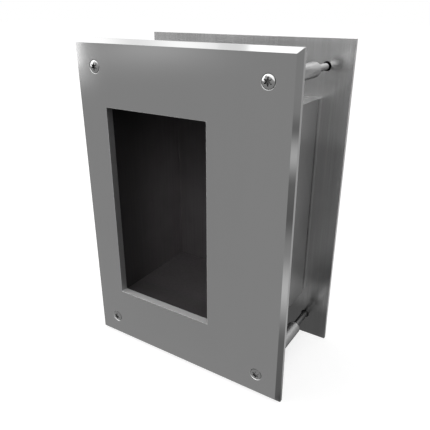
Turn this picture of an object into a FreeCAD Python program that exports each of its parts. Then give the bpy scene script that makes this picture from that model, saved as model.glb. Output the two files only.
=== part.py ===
import FreeCAD, Part
import Sketcher
import math
import os
import re

# A recessed pull handle for a sliding or swing door, sizes in millimetres.
# Two bevelled plates clamp the door between them. A folded sheet box behind the front plate's
# window takes the fingers, and four tapped sleeves with a screw in each end tie the plates.
# X runs across the door, Y into it and Z up. The origin is the middle of the front plate's
# back face, which is also the middle of the four sleeves' seats.

SIZES = {
    # Both plates, and the door that they clamp.
    "plate_tall": 127.0,
    "plate_wide": 90.0,
    "plate_thick": 3.0,
    "plate_bevel": 1.6,
    "door_thick": 44.0,
    # The window in the front plate, by the metal left around it.
    "window_end_margin": 24.0,
    "window_left_margin": 14.2,
    "window_right_margin": 31.8,
    "window_corner": 0.4,
    # The sheet box: how far its inside clears the window, and reaches past it for the fingers.
    "mouth_lip": 1.1,
    "finger_reach": 18.8,
    "box_sheet": 1.5,
    "box_fold": 1.7,
    "box_back_play": 0.3,
    # The countersunk screw holes, alike in both plates.
    "screw_side_inset": 10.0,
    "screw_end_inset": 9.75,
    "screw_hole": 3.6,
    "sink_mouth": 5.0,
    # The turned sleeves.
    "sleeve_wide": 5.5,
    "sleeve_edge": 0.25,
    "sleeve_end_gap": 12.0,
    # The M3 threads, drawn plain at their crests.
    "thread_wide": 3.0,
    "thread_play": 0.05,
    "thread_room": 1.5,
    "shank_wide": 2.65,
    "front_grip": 7.13,
    "rear_grip": 10.13,
    "screw_tip": 0.4,
    # The raised heads, with a six-lobe recess of size 10 across its lobes.
    "head_wide": 4.7,
    "head_rise": 0.5,
    "head_play": 0.02,
    "lobe_span": 2.8,
    "waist_span": 1.6,
    "lobe_round": 0.22,
    "lobe_deep": 1.0,
}

LOBES = 6
SINK_ANGLE = 90.0
DRILL_ANGLE = 118.0

# The corners of the screw pattern, each by the sign of its side and of its end.
CORNERS = {
    "top_left": (-1, 1),
    "top_right": (1, 1),
    "bottom_left": (-1, -1),
    "bottom_right": (1, -1),
}

SCREW_ACROSS = "(plate_wide / 2 - screw_side_inset)"
SCREW_UP = "(plate_tall / 2 - screw_end_inset)"
WINDOW_LEFT = "(window_left_margin - plate_wide / 2)"
WINDOW_RIGHT = "(plate_wide / 2 - window_right_margin)"
WINDOW_TOP = "(plate_tall / 2 - window_end_margin)"
BOX_DEEP = "(door_thick - box_back_play)"
SLEEVE_LONG = "(door_thick - sleeve_end_gap)"

# How far a screw head's widest edge lies below the plate's face, and the screws' lengths from it.
HEAD_SUNK = "((sink_mouth - head_wide) / 2 - head_play)"
FRONT_SCREW_LONG = f"(plate_thick - {HEAD_SUNK} + front_grip)"
REAR_SCREW_LONG = f"(plate_thick - {HEAD_SUNK} + sleeve_end_gap + rear_grip)"

doc = FreeCAD.newDocument("recessed_pull_handle")
sheet = doc.addObject("Spreadsheet::Sheet", "Sizes")


def fill_sheet():
    for row, (alias, size) in enumerate(SIZES.items(), start=1):
        sheet.set(f"A{row}", alias)
        sheet.set(f"B{row}", str(size))
        sheet.setAlias(f"B{row}", alias)
    doc.recompute()


def bind(thing, prop, formula):
    """Drive a property by a formula of sizes, each name pointed at its cell in the sheet."""
    thing.setExpression(prop, re.sub("[a-z_]{3,}", lambda name: "Sizes." + name.group(0), formula))


def worth(formula):
    """The number that a formula of sizes comes to."""
    result = sheet.evalExpression(formula)
    return float(getattr(result, "Value", result))


def near(one, other):
    return abs(one - other) < 1e-4


# Sketches

def new_body(label):
    body = doc.addObject("PartDesign::Body", label)
    body.Label = label
    return body


def new_sketch(body, name, role, lift="0"):
    """A sketch on one of the body's own planes, lifted along the plane's normal."""
    sketch = body.newObject("Sketcher::SketchObject", f"{body.Label}_{name}")
    plane = next(face for face in body.Origin.OriginFeatures if face.Role == role)
    sketch.AttachmentSupport = [(plane, "")]
    sketch.MapMode = "FlatFace"
    bind(sketch, "AttachmentOffset.Base.z", lift)
    return sketch


def dimension(sketch, formula, kind, *places):
    number = sketch.addConstraint(Sketcher.Constraint(kind, *places, worth(formula)))
    bind(sketch, f"Constraints[{number}]", formula)


def start_of(curve):
    """A constraint names a point by its curve, then 1 for the start, 2 the end or 3 the centre."""
    return curve, 1


def end_of(curve):
    return curve, 2


def centre_of(curve):
    return curve, 3


def put_on_axis(sketch, point, upright):
    """A sketch's axes are its curves -1, which runs across from the origin, and -2, upright."""
    sketch.addConstraint(Sketcher.Constraint("PointOnObject", *point, -2 if upright else -1))


def pin_point(sketch, point, across, up):
    """Place a point of the sketch by two formulas. One that is zero puts it on an axis."""
    origin = start_of(-1)
    if near(worth(across), 0):
        put_on_axis(sketch, point, upright=True)
    else:
        dimension(sketch, across, "DistanceX", *origin, *point)
    if near(worth(up), 0):
        put_on_axis(sketch, point, upright=False)
    else:
        dimension(sketch, up, "DistanceY", *origin, *point)


def join_ends(sketch, curve, after):
    sketch.addConstraint(Sketcher.Constraint("Coincident", *end_of(curve), *start_of(after)))


def outline(sketch, corners):
    """A closed outline of straight lines, its corners given as pairs of formulas."""
    spots = [FreeCAD.Vector(worth(across), worth(up), 0) for across, up in corners]
    for here, spot in enumerate(spots):
        sketch.addGeometry(Part.LineSegment(spot, spots[(here + 1) % len(spots)]), False)
    for here, (across, up) in enumerate(corners):
        join_ends(sketch, here, (here + 1) % len(corners))
        pin_point(sketch, start_of(here), across, up)


def rectangle(sketch, left, right, top):
    """A rectangle that reaches as far below the middle as above it."""
    bottom = f"(-{top})"
    outline(sketch, [(left, bottom), (right, bottom), (right, top), (left, top)])


def circle(sketch, wide, across="0", up="0"):
    centre = FreeCAD.Vector(worth(across), worth(up), 0)
    ring = Part.Circle(centre, FreeCAD.Vector(0, 0, 1), worth(wide) / 2)
    number = sketch.addGeometry(ring, False)
    pin_point(sketch, centre_of(number), across, up)
    dimension(sketch, wide, "Diameter", number)


def ends(edge):
    return [corner.Point for corner in edge.Vertexes]


def edges_where(feature, test):
    """The names of the feature's edges that pass the test."""
    edges = enumerate(feature.Shape.Edges, start=1)
    return [f"Edge{number}" for number, edge in edges if test(edge)]


def edges_at_depth(feature, depth):
    return edges_where(feature, lambda edge: all(near(end.y, depth) for end in ends(edge)))


def faces_at_depth(feature, depth):
    faces = enumerate(feature.Shape.Faces, start=1)
    return [f"Face{number}" for number, face in faces if near(face.CenterOfMass.y, depth)]


# Plates

def bevelled_plate(label):
    """A flat plate from Y = 0 to Y = -plate_thick, bevelled round its far face."""
    body = new_body(label)
    sketch = new_sketch(body, "outline", "XZ_Plane")
    rectangle(sketch, "(-plate_wide / 2)", "(plate_wide / 2)", "(plate_tall / 2)")
    slab = body.newObject("PartDesign::Pad", f"{label}_slab")
    slab.Profile = sketch
    bind(slab, "Length", "plate_thick")
    doc.recompute()

    bevel = body.newObject("PartDesign::Chamfer", f"{label}_bevel")
    bevel.Base = (slab, edges_at_depth(slab, -worth("plate_thick")))
    bind(bevel, "Size", "plate_bevel")
    doc.recompute()
    return body


def drill_screw_holes(body):
    """Four clearance holes, countersunk from the bevelled face."""
    sketch = new_sketch(body, "hole_centres", "XZ_Plane", "plate_thick")
    for side, end in CORNERS.values():
        circle(sketch, "screw_hole", f"({side} * {SCREW_ACROSS})", f"({end} * {SCREW_UP})")
    doc.recompute()

    holes = body.newObject("PartDesign::Hole", f"{body.Label}_screw_holes")
    holes.Profile = sketch
    holes.ThreadType = "None"
    holes.DepthType = "ThroughAll"
    holes.HoleCutType = "Countersink"
    holes.HoleCutCustomValues = True
    holes.HoleCutCountersinkAngle = SINK_ANGLE
    bind(holes, "Diameter", "screw_hole")
    bind(holes, "HoleCutDiameter", "sink_mouth")
    doc.recompute()


def make_front_plate():
    body = bevelled_plate("front_plate")
    sketch = new_sketch(body, "window_outline", "XZ_Plane", "plate_thick")
    rectangle(sketch, WINDOW_LEFT, WINDOW_RIGHT, WINDOW_TOP)
    window = body.newObject("PartDesign::Pocket", "window")
    window.Profile = sketch
    window.Type = "ThroughAll"
    doc.recompute()

    def is_window_corner(edge):
        front, back = ends(edge)
        through = near(front.x, back.x) and near(front.z, back.z)
        return through and near(abs(front.z), worth(WINDOW_TOP))

    rounds = body.newObject("PartDesign::Fillet", "window_corners")
    rounds.Base = (window, edges_where(window, is_window_corner))
    bind(rounds, "Radius", "window_corner")
    doc.recompute()
    drill_screw_holes(body)
    return body


def make_rear_plate():
    """The same plate without the window, turned to face the other way."""
    body = bevelled_plate("rear_plate")
    drill_screw_holes(body)
    body.Placement.Rotation = FreeCAD.Rotation(FreeCAD.Vector(0, 0, 1), 180)
    bind(body, "Placement.Base.y", "door_thick")
    return body


# Finger box

def make_recess_box():
    """A sheet box, open at the front. Its back edges are folded and its corners welded."""
    body = new_body("recess_box")
    sketch = new_sketch(body, "outline", "XZ_Plane")
    left = f"({WINDOW_LEFT} - mouth_lip - box_sheet)"
    right = f"({WINDOW_RIGHT} + finger_reach + box_sheet)"
    rectangle(sketch, left, right, f"({WINDOW_TOP} + mouth_lip + box_sheet)")
    block = body.newObject("PartDesign::Pad", "box_block")
    block.Profile = sketch
    block.Reversed = True
    bind(block, "Length", BOX_DEEP)
    doc.recompute()

    folds = body.newObject("PartDesign::Fillet", "box_folds")
    folds.Base = (block, edges_at_depth(block, worth(BOX_DEEP)))
    bind(folds, "Radius", "box_fold")
    doc.recompute()

    walls = body.newObject("PartDesign::Thickness", "box_walls")
    walls.Base = (folds, faces_at_depth(folds, 0))
    walls.Reversed = True
    bind(walls, "Value", "box_sheet")
    doc.recompute()
    return body


# Turned pieces, each modelled about its own Z and then laid along the door's Y

def revolve(body, sketch):
    turned = body.newObject("PartDesign::Revolution", f"{body.Label}_turned")
    turned.Profile = sketch
    turned.ReferenceAxis = (sketch, ["V_Axis"])
    turned.Angle = 360
    doc.recompute()


def lay_along_door(body, corner, quarter_turn, depth):
    side, end = CORNERS[corner]
    body.Placement.Rotation = FreeCAD.Rotation(FreeCAD.Vector(1, 0, 0), quarter_turn)
    bind(body, "Placement.Base.x", f"{side} * {SCREW_ACROSS}")
    bind(body, "Placement.Base.y", depth)
    bind(body, "Placement.Base.z", f"{end} * {SCREW_UP}")


def tap_end(body, name, lift, grip, upward):
    """A blind tapped hole, drawn plain at its thread's crests."""
    sketch = new_sketch(body, f"{name}_centre", "XY_Plane", lift)
    circle(sketch, "(thread_wide + 2 * thread_play)")
    doc.recompute()

    bore = body.newObject("PartDesign::Hole", f"{body.Label}_{name}")
    bore.Profile = sketch
    bore.ThreadType = "None"
    bore.DepthType = "Dimension"
    bore.DrillPoint = "Angled"
    bore.DrillPointAngle = DRILL_ANGLE
    bore.Reversed = upward
    bind(bore, "Diameter", "thread_wide + 2 * thread_play")
    bind(bore, "Depth", f"{grip} + thread_room")
    doc.recompute()


def make_sleeve(corner):
    """A round sleeve that seats square on the front plate, tapped from both ends."""
    body = new_body(f"sleeve_{corner}")
    radius = "(sleeve_wide / 2)"
    sketch = new_sketch(body, "section", "XZ_Plane")
    outline(sketch, [
        ("0", "0"),
        (radius, "0"),
        (radius, f"({SLEEVE_LONG} - sleeve_edge)"),
        (f"({radius} - sleeve_edge)", SLEEVE_LONG),
        ("0", SLEEVE_LONG),
    ])
    revolve(body, sketch)
    tap_end(body, "front_bore", "0", "front_grip", True)
    tap_end(body, "rear_bore", SLEEVE_LONG, "rear_grip", False)
    lay_along_door(body, corner, -90, "0")
    return body


# Screws, with the head's widest edge at Z = 0 and its dome above

def turn_screw(body, steps):
    """Revolve a screw: the dome's arc closes the steps from the tip up to the head's edge."""
    sketch = new_sketch(body, "section", "XZ_Plane")
    edge = worth("head_wide / 2")
    rise = worth("head_rise")
    crown = (edge ** 2 + rise ** 2) / (2 * rise)
    lean = math.asin(edge / crown) / 2
    bend = FreeCAD.Vector(crown * math.sin(lean), rise - crown * (1 - math.cos(lean)), 0)
    corners = steps + [("(head_wide / 2)", "0"), ("0", "head_rise")]
    spots = [FreeCAD.Vector(worth(across), worth(up), 0) for across, up in corners]
    dome = len(steps)
    for here, spot in enumerate(spots):
        after = spots[(here + 1) % len(spots)]
        line = Part.LineSegment(spot, after)
        sketch.addGeometry(Part.Arc(spot, bend, after) if here == dome else line, False)
    for here, (across, up) in enumerate(corners):
        join_ends(sketch, here, (here + 1) % len(corners))
        pin_point(sketch, start_of(here), across, up)
    put_on_axis(sketch, centre_of(dome), upright=True)
    revolve(body, sketch)


def lobe_outline(sketch):
    """Round lobes, each tangent to the hollows beside it, by the sizes in the sheet.

    A lobe's arc is centred tip_out from the middle, and a hollow's arc waist + hollow, half a
    step round from it. The hollow's radius is the one that puts their centres as far apart as
    the two radii together.
    """
    half_step = 180 / LOBES
    tip_round = worth("lobe_round")
    tip_out = worth("lobe_span") / 2 - tip_round
    waist = worth("waist_span") / 2
    spread = 2 * tip_out * math.cos(math.radians(half_step))
    hollow = (tip_round ** 2 - waist ** 2 - tip_out ** 2 + spread * waist) / (
        2 * waist - spread - 2 * tip_round
    )

    def polar(radius, degrees):
        angle = math.radians(degrees)
        return FreeCAD.Vector(radius * math.cos(angle), radius * math.sin(angle), 0)

    def touch(tip, dip):
        """The point where a lobe's arc meets a hollow's."""
        return tip + (dip - tip) * (tip_round / (tip_round + hollow))

    for lobe in range(LOBES):
        angle = 90 + 2 * lobe * half_step
        tip = polar(tip_out, angle)
        before = polar(waist + hollow, angle - half_step)
        after = polar(waist + hollow, angle + half_step)
        beyond = polar(tip_out, angle + 2 * half_step)
        crest = polar(tip_out + tip_round, angle)
        dip = polar(waist, angle + half_step)
        sketch.addGeometry(Part.Arc(touch(tip, before), crest, touch(tip, after)), False)
        sketch.addGeometry(Part.Arc(touch(tip, after), dip, touch(beyond, after)), False)
    for arc in range(2 * LOBES):
        sketch.addConstraint(Sketcher.Constraint("Block", arc))


def sink_lobes(body):
    sketch = new_sketch(body, "lobes", "XY_Plane", "head_rise")
    lobe_outline(sketch)
    doc.recompute()

    recess = body.newObject("PartDesign::Pocket", f"{body.Label}_recess")
    recess.Profile = sketch
    bind(recess, "Length", "lobe_deep")
    doc.recompute()


def make_front_screw(corner):
    """A short screw, threaded up to its head."""
    body = new_body(f"front_screw_{corner}")
    thread = "(thread_wide / 2)"
    turn_screw(body, [
        ("0", f"(-{FRONT_SCREW_LONG})"),
        (f"({thread} - screw_tip)", f"(-{FRONT_SCREW_LONG})"),
        (thread, f"(screw_tip - {FRONT_SCREW_LONG})"),
        (thread, f"({thread} - head_wide / 2)"),
    ])
    sink_lobes(body)
    lay_along_door(body, corner, 90, f"{HEAD_SUNK} - plate_thick")
    return body


def make_rear_screw(corner):
    """A long screw with a plain shank, threaded only where the sleeve grips it."""
    body = new_body(f"rear_screw_{corner}")
    thread = "(thread_wide / 2)"
    shank = "(shank_wide / 2)"
    turn_screw(body, [
        ("0", f"(-{REAR_SCREW_LONG})"),
        (f"({thread} - screw_tip)", f"(-{REAR_SCREW_LONG})"),
        (thread, f"(screw_tip - {REAR_SCREW_LONG})"),
        (thread, f"(rear_grip - {REAR_SCREW_LONG})"),
        (shank, f"(rear_grip - {REAR_SCREW_LONG})"),
        (shank, f"({shank} - head_wide / 2)"),
    ])
    sink_lobes(body)
    lay_along_door(body, corner, -90, f"door_thick + plate_thick - {HEAD_SUNK}")
    return body


def export(bodies):
    doc.recompute()
    for thing in doc.Objects:
        if "Invalid" in thing.State or "Error" in thing.State:
            raise RuntimeError(f"{thing.Label} failed: {thing.State}")
    for body in bodies:
        if body.Shape.isNull() or not body.Shape.isValid() or len(body.Shape.Solids) != 1:
            raise RuntimeError(f"{body.Label} is not one sound solid")
    os.makedirs("parts", exist_ok=True)
    for body in bodies:
        body.Shape.exportStep(f"parts/{body.Label}.step")
        print(f"{body.Label}: {body.Shape.Volume:.1f} mm3")


fill_sheet()
pieces = [make_front_plate(), make_recess_box(), make_rear_plate()]
for name in CORNERS:
    pieces += [make_sleeve(name), make_front_screw(name), make_rear_screw(name)]
export(pieces)
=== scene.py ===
"""Looks of the recessed pull handle: steel finishes, plain studio and the photograph's camera.

The graphs measure in millimetres: X to the right, Y into the door, Z up. Y is 0 at the front
plate's inner face, and X and Z are 0 at the plates' middle.
"""

import math

import bpy
from mathutils import Matrix, Vector


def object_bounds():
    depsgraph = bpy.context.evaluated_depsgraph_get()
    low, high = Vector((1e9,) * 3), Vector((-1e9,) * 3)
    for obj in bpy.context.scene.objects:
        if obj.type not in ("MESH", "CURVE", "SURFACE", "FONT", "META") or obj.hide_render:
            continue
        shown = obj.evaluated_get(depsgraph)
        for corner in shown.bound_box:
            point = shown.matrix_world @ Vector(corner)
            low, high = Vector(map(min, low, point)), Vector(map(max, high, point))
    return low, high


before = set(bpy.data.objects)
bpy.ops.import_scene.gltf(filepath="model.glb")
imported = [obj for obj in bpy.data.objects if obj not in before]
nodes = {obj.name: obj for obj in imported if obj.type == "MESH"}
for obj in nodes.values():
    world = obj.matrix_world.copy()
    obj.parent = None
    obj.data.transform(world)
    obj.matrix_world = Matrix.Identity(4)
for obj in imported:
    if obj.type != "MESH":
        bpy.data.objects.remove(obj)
cad_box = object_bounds()

MM = 0.001
FLOOR_LEVEL = cad_box[0].z
CORNERS = ("top_left", "top_right", "bottom_left", "bottom_right")

# The room between the plates.
DOOR = 44.0
# The screws' axes, and the radii of a plate's hole at its mouth and of a head's six lobes.
SCREW_ACROSS = 35.0
SCREW_UP = 53.75
MOUTH = 2.52
LOBES = 1.4
# A head's crown: its radius and how far out of the door its top would be.
CROWN = 5.7725
CROWN_OUT = 3.37
# The window's middle along X, and its half width and half height with a little to spare.
WINDOW_MIDDLE = -8.8
WINDOW_HALF_WIDE = 22.06
WINDOW_HALF_TALL = 39.56
# The room in the box: its middle along X, half width, half height and depth.
ROOM_MIDDLE = 0.05
ROOM_HALF_WIDE = 31.95
ROOM_HALF_TALL = 40.6
ROOM_DEEP = 42.2
# Radii that the sharp edges are eased by.
PLATE_EDGE = 0.035
SLEEVE_EDGE = 0.05
SCREW_EDGE = 0.04


# Node graphs

class Graph:
    """The nodes of a material or a world. Most calls add nodes and give back the output socket."""

    def __init__(self, owner):
        owner.use_nodes = True
        self.owner = owner
        self.tree = owner.node_tree

    def put(self, socket, value):
        if isinstance(value, bpy.types.NodeSocket):
            self.tree.links.new(value, socket)
        else:
            socket.default_value = value

    def add(self, kind, inputs, **settings):
        node = self.tree.nodes.new("ShaderNode" + kind)
        for name, value in settings.items():
            setattr(node, name, value)
        for name, value in inputs.items():
            self.put(node.inputs[name], value)
        return node

    def math(self, operation, *values):
        node = self.add("Math", {}, operation=operation)
        for socket, value in zip(node.inputs, values):
            self.put(socket, value)
        return node.outputs[0]

    def fold(self, operation, values):
        """The operation taken over all the values, from the first to the last."""
        result = values[0]
        for value in values[1:]:
            result = self.math(operation, result, value)
        return result

    def total(self, *values):
        return self.fold("ADD", values)

    def product(self, *values):
        return self.fold("MULTIPLY", values)

    def largest(self, *values):
        return self.fold("MAXIMUM", values)

    def length(self, one, other):
        squares = self.product(one, one), self.product(other, other)
        return self.math("SQRT", self.total(*squares))

    def beyond(self, value, middle, reach):
        """How far the value lies beyond this reach to either side of the middle."""
        off = self.math("ABSOLUTE", self.math("SUBTRACT", value, middle))
        return self.math("SUBTRACT", off, reach)

    def ramp(self, value, low, high, start=0.0, end=1.0, course="SMOOTHSTEP"):
        """From start to end as the value goes from low to high, eased unless told otherwise."""
        node = self.add("MapRange", {
            "Value": value, "From Min": low, "From Max": high, "To Min": start, "To Max": end,
        }, interpolation_type=course)
        return node.outputs["Result"]

    def bands(self, value, stops):
        """Levels that ease from stop to stop: each stop is a value from 0 to 1 and its level."""
        node = self.add("ValToRGB", {"Fac": value})
        node.color_ramp.interpolation = "EASE"
        elements = node.color_ramp.elements
        for place, _ in stops[1:-1]:
            elements.new(place)
        for element, (_, level) in zip(elements, stops):
            element.color = (level, level, level, 1.0)
        return node.outputs["Color"]

    def mix(self, factor, one, other):
        node = self.add("Mix", {}, data_type="FLOAT")
        for socket, value in zip(node.inputs, (factor, None, one, other)):
            if value is not None:
                self.put(socket, value)
        return node.outputs[0]

    def scaled(self, vector, across, deep, up):
        node = self.add("VectorMath", {}, operation="MULTIPLY")
        self.put(node.inputs[0], vector)
        self.put(node.inputs[1], (across, deep, up))
        return node.outputs[0]

    def noise(self, vector, detail, seed):
        """Noise around zero, from about -0.5 to 0.5."""
        node = self.add("TexNoise", {
            "Vector": vector, "W": seed, "Scale": 1.0, "Detail": detail, "Roughness": 0.5,
        }, noise_dimensions="4D")
        return self.math("SUBTRACT", node.outputs["Fac"], 0.5)

    def place(self):
        """The point in millimetres, and its three coordinates."""
        spot = self.add("TexCoord", {}).outputs["Object"]
        spot = self.scaled(spot, 1 / MM, 1 / MM, 1 / MM)
        axes = self.add("SeparateXYZ", {"Vector": spot}).outputs
        return spot, axes["X"], axes["Y"], axes["Z"]

    def facing(self, kind="True Normal"):
        """How squarely the surface faces along Y and along Z, each from 0 to 1."""
        normal = self.add("NewGeometry", {}).outputs[kind]
        axes = self.add("SeparateXYZ", {"Vector": normal}).outputs
        return [self.math("ABSOLUTE", axes[name]) for name in "YZ"]

    def off_axis(self, x, z):
        """How far the point lies from the nearest screw's axis."""
        return self.length(self.beyond(x, 0.0, SCREW_ACROSS), self.beyond(z, 0.0, SCREW_UP))

    def steel(self, tone, rough, relief, height, tint=(1.0, 1.0, 1.0)):
        """Metal of this tone and roughness, its fine relief this many millimetres high."""
        channels = zip(("Red", "Green", "Blue"), tint)
        grey = self.add("CombineColor", {name: self.product(tone, part) for name, part in channels})
        bump = self.add("Bump", {"Strength": 1.0, "Distance": height * MM, "Height": relief})
        inputs = self.tree.nodes["Principled BSDF"].inputs
        inputs["Metallic"].default_value = 1.0
        self.put(inputs["Base Color"], grey.outputs[0])
        self.put(inputs["Roughness"], rough)
        self.put(inputs["Normal"], bump.outputs[0])
        return self.owner


# Steels. The rises and falls along X, Y and Z are painted reflection and shade: they stand for what
# the real part mirrors.

def plate_steel():
    """Satin plate: long fine grain, along Z on the flats and along each bevel on its own run."""
    g = Graph(bpy.data.materials.new("plate_steel_satin"))
    spot, x, y, z = g.place()
    face_y, face_z = g.facing()
    flat = g.ramp(face_y, 0.8, 0.95)
    upright = g.math("LESS_THAN", face_z, 0.35)

    def grain(fine, along, detail, seed):
        """Streaks this many to the millimetre across, run along the brushing."""
        down = g.noise(g.scaled(spot, fine, fine, along), detail, seed)
        across = g.noise(g.scaled(spot, along, fine, fine), detail, seed)
        return g.mix(upright, across, down)

    hair = grain(fine=9.0, along=0.12, detail=3.0, seed=1.0)
    streak = grain(fine=1.7, along=0.02, detail=2.0, seed=2.0)
    cloud = g.noise(g.scaled(spot, 0.05, 0.05, 0.03), detail=3.0, seed=3.0)

    # Where the point is: on which plate, on its door side, in the window's cut or a screw's hole.
    rear = g.math("GREATER_THAN", y, DOOR / 2)
    inner = g.product(g.ramp(y, -0.05, -0.03), g.ramp(y, DOOR + 0.05, DOOR + 0.03))
    cut = g.product(
        g.ramp(g.beyond(z, 0.0, WINDOW_HALF_TALL), 0.1, 0.0),
        g.ramp(g.beyond(x, WINDOW_MIDDLE, WINDOW_HALF_WIDE), 0.1, 0.0),
        g.ramp(y, 0.1, 0.05),
    )
    drilled = g.product(g.ramp(g.off_axis(x, z), MOUTH + 0.04, MOUTH), g.ramp(flat, 1.0, 0.9))

    # The rear plate's door side, with painted reflection and shade: its top strip, then down its
    # right side to the foot.
    strip = g.product(g.ramp(z, 57.0, 62.0, 1.17, 1.0), g.ramp(x, 34.0, 45.0, 0.97, 1.04))
    shade = g.mix(g.ramp(z, 36.0, 50.0), g.ramp(x, 29.0, 45.0, 0.77, 1.55), strip)
    shade = g.product(
        shade,
        g.ramp(z, 22.0, 30.0, 1.0, 1.35),
        g.ramp(z, 42.0, 50.0, 1.0, 0.74),
        g.ramp(z, 5.0, -15.0, 1.0, 0.84),
    )
    foot = g.product(g.ramp(z, -33.0, -40.0, 0.84, 1.18), g.ramp(z, -44.0, -52.0, 1.0, 0.5))
    shade = g.mix(g.ramp(z, -15.0, -32.0), shade, foot)
    brushing = g.total(1.0, g.product(streak, 0.4), g.product(hair, 0.2))
    # Painted shade: the rear plate's door side darker towards its left end, on top of its grain.
    rear_tone_and_painted_light = g.product(g.ramp(x, -27.0, -2.0, 0.24, 0.5), shade, brushing)

    # A painted highlight near the top left corner of the outer faces.
    corner = g.product(g.ramp(x, -29.0, -45.0), g.ramp(z, 44.0, 54.0))
    outer_tone_and_highlight = g.total(0.205, g.product(corner, 0.05))
    # Painted light on the window's cut walls: the top and bottom walls lighter, the side walls
    # darker towards their top.
    cut_painted_light = g.mix(face_z, g.ramp(z, 30.0, 40.0, 0.27, 0.2), 0.5)
    # Painted light in the screw holes: lighter in the rear plate, and in the front plate's lower
    # holes than in its upper ones.
    hole_painted_light = g.mix(rear, g.ramp(z, -5.0, 5.0, 0.32, 0.21), 0.6)
    tone = g.mix(inner, outer_tone_and_highlight, g.mix(rear, 0.46, rear_tone_and_painted_light))
    tone = g.mix(cut, tone, cut_painted_light)
    tone = g.mix(drilled, tone, hole_painted_light)
    tone = g.total(tone, g.product(hair, 0.012), g.product(streak, 0.008), g.product(cloud, 0.01))

    satin = g.total(0.09, g.product(hair, 0.06), g.product(streak, 0.03), g.product(cloud, 0.02))
    polished = g.total(0.05, g.product(hair, 0.02), g.product(cloud, 0.02))
    brushed = g.total(0.25, g.product(hair, 0.06), g.product(streak, 0.05))
    mill = g.mix(rear, g.total(0.55, g.product(hair, 0.06)), brushed)
    rough = g.mix(inner, g.mix(flat, polished, satin), mill)
    rough = g.mix(cut, rough, 0.6)
    rough = g.mix(drilled, rough, 0.4)
    relief = g.product(hair, g.mix(flat, 0.35, 1.0))
    return g.steel(tone, rough, relief, height=0.0008)


def box_steel():
    """Sheet steel with a mill finish, with painted light and shade on its outside. Inside, a dark
    paint stands in for the room's shade, painted lighter towards the back and the bottom.
    """
    g = Graph(bpy.data.materials.new("box_steel_mill"))
    spot, x, y, z = g.place()
    face_y, face_z = g.facing()
    rolled = g.noise(g.scaled(spot, 2.2, 2.2, 0.05), detail=3.0, seed=4.0)
    mottle = g.noise(g.scaled(spot, 0.12, 0.12, 0.12), detail=4.0, seed=5.0)
    brushed = g.noise(g.scaled(spot, 1.1, 1.1, 0.03), detail=3.0, seed=10.0)

    # The dark paint, which stands in for the room's shade, stops within the sheet, this far outside
    # the room in the box.
    outside = g.largest(
        g.beyond(x, ROOM_MIDDLE, ROOM_HALF_WIDE),
        g.beyond(z, 0.0, ROOM_HALF_TALL),
        g.math("SUBTRACT", y, ROOM_DEEP),
    )
    shade_coat = g.ramp(outside, 0.7, 0.6)

    # Painted light and shade outside: the sides lighter towards the bottom, and the underside
    # lighter than the top.
    side = g.ramp(z, -4.0, -36.0, 0.114, 0.27)
    top_and_bottom_painted_light = g.ramp(z, 0.0, 5.0, 0.4, 0.095)
    steel = g.mix(face_z, side, top_and_bottom_painted_light)
    steel = g.total(steel, g.product(rolled, 0.02), g.product(mottle, 0.03))
    # Painted light at the back fold: lighter on its upright runs, dark on its top and bottom runs.
    fold = g.mix(face_z, g.ramp(z, 0.0, -30.0, 0.23, 0.28), 0.04)
    steel = g.mix(g.ramp(y, 41.9, 42.4), steel, fold)
    # Painted light inside the room: lighter towards the back and the bottom, the back wall darker
    # towards the top, and the room's top and bottom lighter near the window.
    back = g.mix(face_y, 1.0, g.ramp(z, -15.0, 5.0, 0.6, 0.44))
    ends = g.product(g.ramp(y, 4.0, 28.0, 2.2, 1.1), g.ramp(y, 22.0, 42.0, 1.0, 0.78))
    inside_painted_light = g.product(
        g.ramp(y, 3.5, 45.0, 0.45, 4.2),
        g.ramp(z, 38.0, -8.0, 0.42, 1.1),
        back,
        g.mix(face_z, 1.0, ends),
    )
    paint = g.product(inside_painted_light, g.total(0.05, g.product(brushed, 0.022), g.product(mottle, 0.012)))
    tone = g.mix(shade_coat, steel, paint)

    rough = g.mix(shade_coat, g.total(0.34, g.product(rolled, 0.1), g.product(mottle, 0.08)), 0.8)
    relief = g.total(g.product(rolled, 0.6), g.product(mottle, 0.6))
    tint = (1.0, g.mix(shade_coat, 1.0, 0.93), g.mix(shade_coat, 1.0, 0.96))
    material = g.steel(tone, rough, relief, height=0.004, tint=tint)
    inputs = g.tree.nodes["Principled BSDF"].inputs
    g.put(inputs["Metallic"], g.mix(shade_coat, 1.0, 0.0))
    inputs["Specular IOR Level"].default_value = 0.15
    return material


def sleeve_steel():
    """Turned bar: fine rings along its axis, which runs along Y."""
    g = Graph(bpy.data.materials.new("sleeve_steel_turned"))
    spot, _, _, z = g.place()
    rings = g.noise(g.scaled(spot, 0.06, 5.0, 0.06), detail=3.0, seed=6.0)
    smear = g.noise(g.scaled(spot, 0.5, 0.25, 0.5), detail=2.0, seed=7.0)
    # Painted light: the lower sleeves lighter than the upper ones; they are rougher too.
    tone, rough = g.ramp(z, -5.0, 5.0, 0.2, 0.145), g.ramp(z, -5.0, 5.0, 0.5, 0.15)
    tone = g.total(tone, g.product(rings, 0.02), g.product(smear, 0.02))
    rough = g.total(rough, g.product(rings, 0.1), g.product(smear, 0.08))
    return g.steel(tone, rough, rings, height=0.003)


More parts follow.
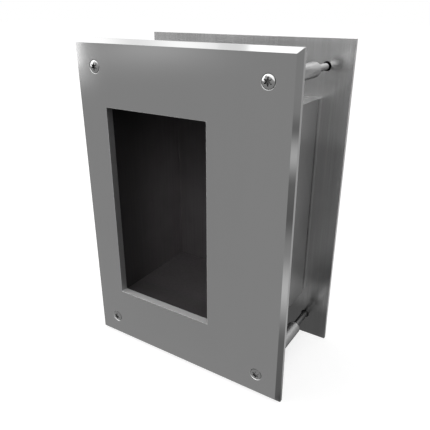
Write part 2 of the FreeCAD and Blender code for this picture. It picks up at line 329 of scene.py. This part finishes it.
def screw_steel():
    """Polished head, its shank and sunk lobes duller. Painted shade darkens the head's outer edge,
    its sunk lobes and the lower shanks; a painted highlight lightens the upper heads towards their
    tops.
    """
    g = Graph(bpy.data.materials.new("screw_steel_polished"))
    spot, x, y, z = g.place()
    rings = g.noise(g.scaled(spot, 0.3, 6.0, 0.3), detail=2.0, seed=8.0)
    scuff = g.noise(g.scaled(spot, 2.0, 2.0, 2.0), detail=4.0, seed=9.0)

    # The point's distance from the axis and out of the door, set against the crown's sphere.
    off = g.off_axis(x, z)
    out = g.beyond(y, DOOR / 2, DOOR / 2)
    crown = g.math("SQRT", g.math("SUBTRACT", CROWN ** 2, g.product(off, off)))
    crown = g.math("SUBTRACT", crown, CROWN - CROWN_OUT)
    below = g.math("SUBTRACT", crown, out)
    head = g.ramp(out, 1.0, 1.1)
    sunk = g.product(g.ramp(below, 0.03, 0.1), g.ramp(off, LOBES, LOBES - 0.04), head)
    slope, _ = g.facing("Normal")
    rim_painted_shade = g.product(g.ramp(slope, 0.905, 0.87), head)

    # Painted shade: the lower shanks darker than the upper. A painted highlight: the upper heads
    # lighter towards their tops.
    shank_tone_and_shade = g.ramp(z, -5.0, 5.0, 0.08, 0.13)
    crown_painted_highlight = g.ramp(z, 53.2, 54.6, 0.18, 0.25)
    tone = g.mix(head, shank_tone_and_shade, crown_painted_highlight)
    tone = g.total(tone, g.product(rings, 0.02), g.product(scuff, 0.03))
    # Painted shade in the sunk lobes, less of it on the lower heads.
    tone = g.mix(sunk, tone, g.ramp(z, -5.0, 5.0, 0.3, 0.12))
    # Painted shade on the head's outer edge.
    tone = g.mix(rim_painted_shade, tone, 0.05)
    rough = g.mix(head, g.ramp(z, -5.0, 5.0, 0.5, 0.12), 0.07)
    rough = g.total(rough, g.product(rings, 0.04), g.product(scuff, 0.06))
    rough = g.mix(sunk, rough, 0.75)
    return g.steel(tone, rough, scuff, height=0.001)


def dress(node, material):
    for slot in nodes[node].material_slots:
        slot.material = material


def ease_edges(node, radius):
    """Round the node's sharp edges by modifiers, its mesh kept as it is."""
    piece = nodes[node]
    weld = piece.modifiers.new("weld", "WELD")
    weld.merge_threshold = 0.001 * MM
    flats = piece.modifiers.new("flats", "DECIMATE")
    flats.decimate_type = "DISSOLVE"
    flats.angle_limit = math.radians(0.4)
    bevel = piece.modifiers.new("edges", "BEVEL")
    bevel.width = radius * MM
    bevel.segments = 2
    bevel.limit_method = "ANGLE"
    bevel.angle_limit = math.radians(30)
    smooth = piece.modifiers.new("shading", "WEIGHTED_NORMAL")
    smooth.keep_sharp = False


satin, mill, turned, polished = plate_steel(), box_steel(), sleeve_steel(), screw_steel()
for name in ("front_plate", "rear_plate"):
    dress(name, satin)
    ease_edges(name, PLATE_EDGE)
dress("recess_box", mill)
for corner in CORNERS:
    dress(f"sleeve_{corner}", turned)
    ease_edges(f"sleeve_{corner}", SLEEVE_EDGE)
    for end in ("front", "rear"):
        dress(f"{end}_screw_{corner}", polished)
        ease_edges(f"{end}_screw_{corner}", SCREW_EDGE)


# Studio

def floor():
    """A pale floor, white to the camera but for a shadow. The metal mirrors painted bands and pools
    of light on it, and a painted shadow under the object.
    """
    half = 4.0
    mesh = bpy.data.meshes.new("floor")
    ring = [(-half, -half), (half, -half), (half, half), (-half, half)]
    mesh.from_pydata([(x, y, FLOOR_LEVEL) for x, y in ring], [], [(0, 1, 2, 3)])
    plane = bpy.data.objects.new("floor", mesh)
    bpy.context.scene.collection.objects.link(plane)

    g = Graph(bpy.data.materials.new("floor_pale"))
    g.tree.nodes.remove(g.tree.nodes["Principled BSDF"])
    path = g.add("LightPath", {}).outputs
    seen = g.largest(path["Is Camera Ray"], path["Is Transmission Ray"])
    paint = g.add("BsdfDiffuse", {"Color": (0.5, 0.5, 0.5, 1.0)})
    glow = g.add("Emission", {"Color": (1, 1, 1, 1), "Strength": g.product(seen, 0.74)})
    both = g.add("AddShader", {})
    g.put(both.inputs[0], paint.outputs[0])
    g.put(both.inputs[1], glow.outputs[0])

    # Painted reflection: bright and dark bands in a wedge that starts at the right end of the front
    # plate's foot.
    foot_x, foot_y = 44.0, -2.0
    _, from_middle, from_door, _ = g.place()
    x, y = g.math("SUBTRACT", from_middle, foot_x), g.math("SUBTRACT", from_door, foot_y)

    def turned(way):
        """How far the point lies out along the way, and how far aside of it."""
        out = g.total(g.product(x, way[0]), g.product(y, way[1]))
        aside = g.total(g.product(x, -way[1]), g.product(y, way[0]))
        return out, aside

    out, aside = turned((0.9205, -0.3907))
    wide = g.math("ADD", g.product(out, 0.45), 8.0)
    share = g.math("DIVIDE", g.math("ABSOLUTE", aside), wide)
    wedge = g.product(g.ramp(share, 0.6, 1.1, 1.0, 0.0), g.ramp(out, 0.0, 3.0))
    far = 700.0
    stops = (
        (0, 0.42), (35, 0.5), (80, 2.0), (125, 0.95), (175, 0.42),
        (240, 0.5), (330, 1.7), (450, 0.55), (565, 0.87), (far, 0.9),
    )
    bands = g.bands(g.math("DIVIDE", out, far), [(place / far, level) for place, level in stops])
    level = g.mix(wedge, 1.0, bands)

    # A painted shadow: darker under the object, between the plates.
    beside = g.ramp(g.math("ABSOLUTE", from_middle), 41.0, 56.0)
    clear_of_painted_shadow = g.largest(beside, g.ramp(y, 2.0, -3.0), g.ramp(y, 44.0, 66.0))
    level = g.product(level, g.mix(clear_of_painted_shadow, 0.24, 1.0))

    def pool(way, far, aside, length, width, extra):
        """A painted pool of light, a soft bright patch: how far out along the way and aside of it,
        its size and level.
        """
        out, off = turned(way)
        out = g.math("DIVIDE", g.math("SUBTRACT", out, far), length)
        off = g.math("DIVIDE", g.math("SUBTRACT", off, aside), width)
        return g.ramp(g.length(out, off), 0.0, 1.0, extra, 0.0)

    # Two painted pools of light to the front left, which only the metal sees.
    level = g.total(
        level,
        pool((-0.636, -0.772), far=1730.0, aside=-35.0, length=950.0, width=350.0, extra=0.65),
        pool((-0.788, -0.616), far=1069.0, aside=-51.0, length=420.0, width=115.0, extra=1.9),
    )
    # The glow that only the metal sees, which carries the painted reflection, pools and shadow.
    painted_reflection_glow = g.add("Emission", {"Color": (1, 1, 1, 1), "Strength": level})
    surface = g.add("MixShader", {"Fac": path["Is Glossy Ray"]})
    g.put(surface.inputs[1], both.outputs[0])
    g.put(surface.inputs[2], painted_reflection_glow.outputs[0])
    g.put(g.tree.nodes["Material Output"].inputs["Surface"], surface.outputs[0])
    mesh.materials.append(g.owner)


def surroundings():
    """White to the camera, brighter overhead and above the front in the metal, softer as light."""
    world = bpy.data.worlds.new("studio")
    bpy.context.scene.world = world
    g = Graph(world)
    path = g.add("LightPath", {}).outputs
    toward = g.add("TexCoord", {}).outputs["Generated"]
    way = g.add("SeparateXYZ", {"Vector": toward}).outputs

    # Overhead: a row of bright and dark bands from left to right, plainer to the front.
    row = g.bands(g.ramp(way["X"], -1.0, 0.0, course="LINEAR"), (
        (0.0, 3.1), (0.25, 4.2), (0.29, 4.2), (0.34, 3.15), (0.41, 4.15),
        (0.5, 3.2), (0.55, 4.8), (0.62, 4.0), (0.9, 3.1), (1.0, 3.1),
    ))
    front = g.ramp(way["Y"], -0.45, -0.2, 5.2, row)
    overhead = g.ramp(way["Z"], 0.33, 0.44, 1.0, front)

    # To the front, a bright zone above the horizon. Its sides are soft and a round gap cuts it.
    near = g.add("VectorMath", {}, operation="DOT_PRODUCT")
    g.put(near.inputs[0], toward)
    g.put(near.inputs[1], (-0.383, -0.8214, -0.4226))
    zone = g.product(
        g.ramp(near.outputs["Value"], 0.745, 0.685),
        g.ramp(way["Z"], -0.17, -0.02),
        g.ramp(way["X"], 0.47, 0.3),
        g.ramp(way["X"], -0.66, -0.5),
        g.ramp(way["Y"], -0.3, -0.5, 0.0, 2.6),
    )
    mirrored = g.largest(overhead, g.total(1.0, zone))
    seen = g.largest(path["Is Camera Ray"], path["Is Transmission Ray"])
    plain = g.mix(seen, 0.6, 1.0)
    background = g.tree.nodes["Background"].inputs
    g.put(background["Strength"], g.mix(path["Is Glossy Ray"], plain, mirrored))
    g.put(background["Color"], (1.0, 1.0, 1.0, 1.0))


def softbox(name, start, end, width, level):
    """A rectangular lamp from start to end, in metres, turned to the object and this bright."""
    start, end = Vector(start), Vector(end)
    middle = (start + end) / 2
    along = (end - start).normalized()
    back = middle.normalized()
    back = (back - along * back.dot(along)).normalized()
    lamp = bpy.data.lights.new(name, "AREA")
    lamp.shape = "RECTANGLE"
    lamp.size = (end - start).length
    lamp.size_y = width
    lamp.energy = level * math.pi * lamp.size * width
    box = bpy.data.objects.new(name, lamp)
    turn = Matrix((along, back.cross(along), back)).transposed()
    box.matrix_world = Matrix.Translation(middle) @ turn.to_4x4()
    box.visible_camera = False
    bpy.context.scene.collection.objects.link(box)


def camera(place, forward, right, lens):
    """The photograph's view, solved from the plates' corners."""
    data = bpy.data.cameras.new("photo")
    data.sensor_width = 36.0
    data.lens = lens
    data.clip_start = 0.01
    eye = bpy.data.objects.new("photo", data)
    forward, right = Vector(forward), Vector(right)
    turn = Matrix((right, right.cross(forward), -forward)).transposed()
    eye.matrix_world = Matrix.Translation(place) @ turn.to_4x4()
    bpy.context.scene.collection.objects.link(eye)
    bpy.context.scene.camera = eye


floor()
surroundings()
softbox("side", (-0.696, -0.620, 0.24), (-1.00, -0.10, 0.24), width=0.6, level=3.6)
softbox("bank_left", (-0.95, -0.05, 0.50), (-0.46, -0.07, 0.82), width=0.5, level=0.35)
softbox("bank_right", (-0.41, -0.07, 0.855), (-0.10, -0.08, 0.96), width=0.5, level=0.9)
camera(
    place=(0.09978, -0.13307, 0.07389),
    forward=(-0.4942, 0.7742, -0.3954),
    right=(0.8427, 0.5384, 0.0010),
    lens=40.654,
)

bpy.context.scene.view_settings.view_transform = "Standard"
